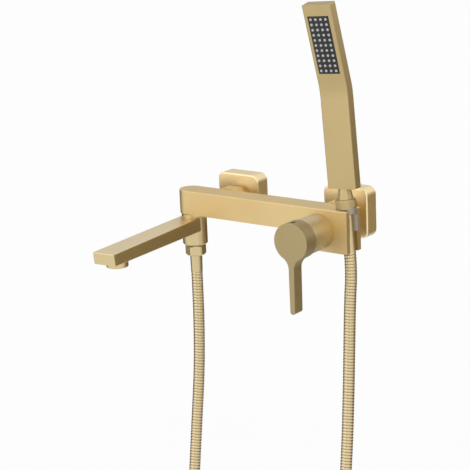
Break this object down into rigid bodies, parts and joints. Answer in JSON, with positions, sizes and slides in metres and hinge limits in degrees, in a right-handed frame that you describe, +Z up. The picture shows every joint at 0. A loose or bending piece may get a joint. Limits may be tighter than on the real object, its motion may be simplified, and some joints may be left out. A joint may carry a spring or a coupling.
{
  "type": "bath shower mixer",
  "caption": "Wall-mounted bath mixer with a swinging flat spout, a lever under a round cap, a holder fork and a flat stick hand shower on a ribbed metal hose.",
  "frame": {"origin": "on the wall plane, midway between the two wall threads", "axes": "+X right along the bar, +Y into the wall, +Z up"},
  "size_m": [0.2474, 0.2512, 0.8528],
  "materials": {
    "satin_gold": "brushed satin gold",
    "hose_metal": "satin gold ribbed metal hose",
    "raw_brass": "machined",
    "grey_plastic": "matt moulded",
    "cartridge_plastic": "matt moulded",
    "ceramic": "polished ceramic",
    "seal_rubber": "matt",
    "pin_steel": "machined",
    "black_plastic": "satin black",
    "white_rubber": "soft white"
  },
  "bodies": {
    "mixer": {"body_casting": "satin_gold", "holder_insert": "grey_plastic", "rosette_left": "satin_gold", "rosette_right": "satin_gold", "s_union_left": "raw_brass", "s_union_right": "raw_brass", "inlet_tail_left": "raw_brass", "inlet_tail_right": "raw_brass", "union_nut_left": "satin_gold", "union_nut_right": "satin_gold", "union_washer_left": "seal_rubber", "union_washer_right": "seal_rubber", "cartridge_seal": "seal_rubber", "cartridge_housing": "cartridge_plastic", "fixed_disc": "ceramic", "cartridge_nut": "raw_brass", "lever_sleeve": "satin_gold", "spout_pillar": "raw_brass", "pillar_o_rings": "seal_rubber", "spout_glide_ring": "cartridge_plastic", "outlet_nipple": "raw_brass", "outlet_check_valve": "cartridge_plastic", "hose_nut": "satin_gold", "hose_washer": "seal_rubber", "hose_ferrule": "satin_gold", "shower_hose": "hose_metal"},
    "spout": {"spout_arm": "satin_gold", "aerator_housing": "satin_gold", "aerator_insert": "cartridge_plastic", "aerator_seal": "seal_rubber"},
    "rotor": {"cartridge_rotor": "cartridge_plastic", "lift_pin": "pin_steel"},
    "disc_slider": {"moving_disc": "ceramic", "disc_carrier": "cartridge_plastic"},
    "lever": {"lever_stem": "raw_brass", "lever_handle": "satin_gold", "lever_grub_screw": "pin_steel"},
    "hose_end": {"handset_ferrule": "satin_gold"},
    "handset": {"cone_nut": "satin_gold", "cone_sleeve": "grey_plastic", "handset_washer": "seal_rubber", "flow_limiter": "cartridge_plastic", "handset_neck": "satin_gold", "handset_shell": "satin_gold", "nozzle_plate": "black_plastic", "nozzle_membrane": "white_rubber"}
  },
  "joints": [
    {"name": "spout_swivel", "type": "hinge", "parent": "mixer", "child": "spout", "pos_m": [-0.11565, -0.054, -0.035], "axis": [0, 0, 1], "range_deg": [-50, 40]},
    {"name": "lever_turn", "type": "hinge", "parent": "mixer", "child": "rotor", "pos_m": [0.0708, -0.0845, -0.0174], "axis": [0, 1, 0], "range_deg": [-45, 45]},
    {"name": "lever_lift", "type": "hinge", "parent": "rotor", "child": "lever", "pos_m": [0.0708, -0.0845, -0.0174], "axis": [-1, 0, 0], "range_deg": [0, 20]},
    {"name": "disc_slide", "type": "slide", "parent": "rotor", "child": "disc_slider", "axis": [0, 0, -1], "range_m": [0, 0.00475]},
    {"name": "handset_lift", "type": "slide", "parent": "mixer", "child": "hose_end", "axis": [-0.0698, 0, 0.9976], "range_m": [0, 0.06]},
    {"name": "handset_turn", "type": "hinge", "parent": "hose_end", "child": "handset", "pos_m": [0.0989, -0.054, 0.00825], "axis": [-0.0698, 0, 0.9976], "range_deg": [-90, 90]}
  ],
  "couplings": [
    {"joint": "disc_slide", "follows": "lever_lift", "m_per_rad": 0.0136}
  ]
}
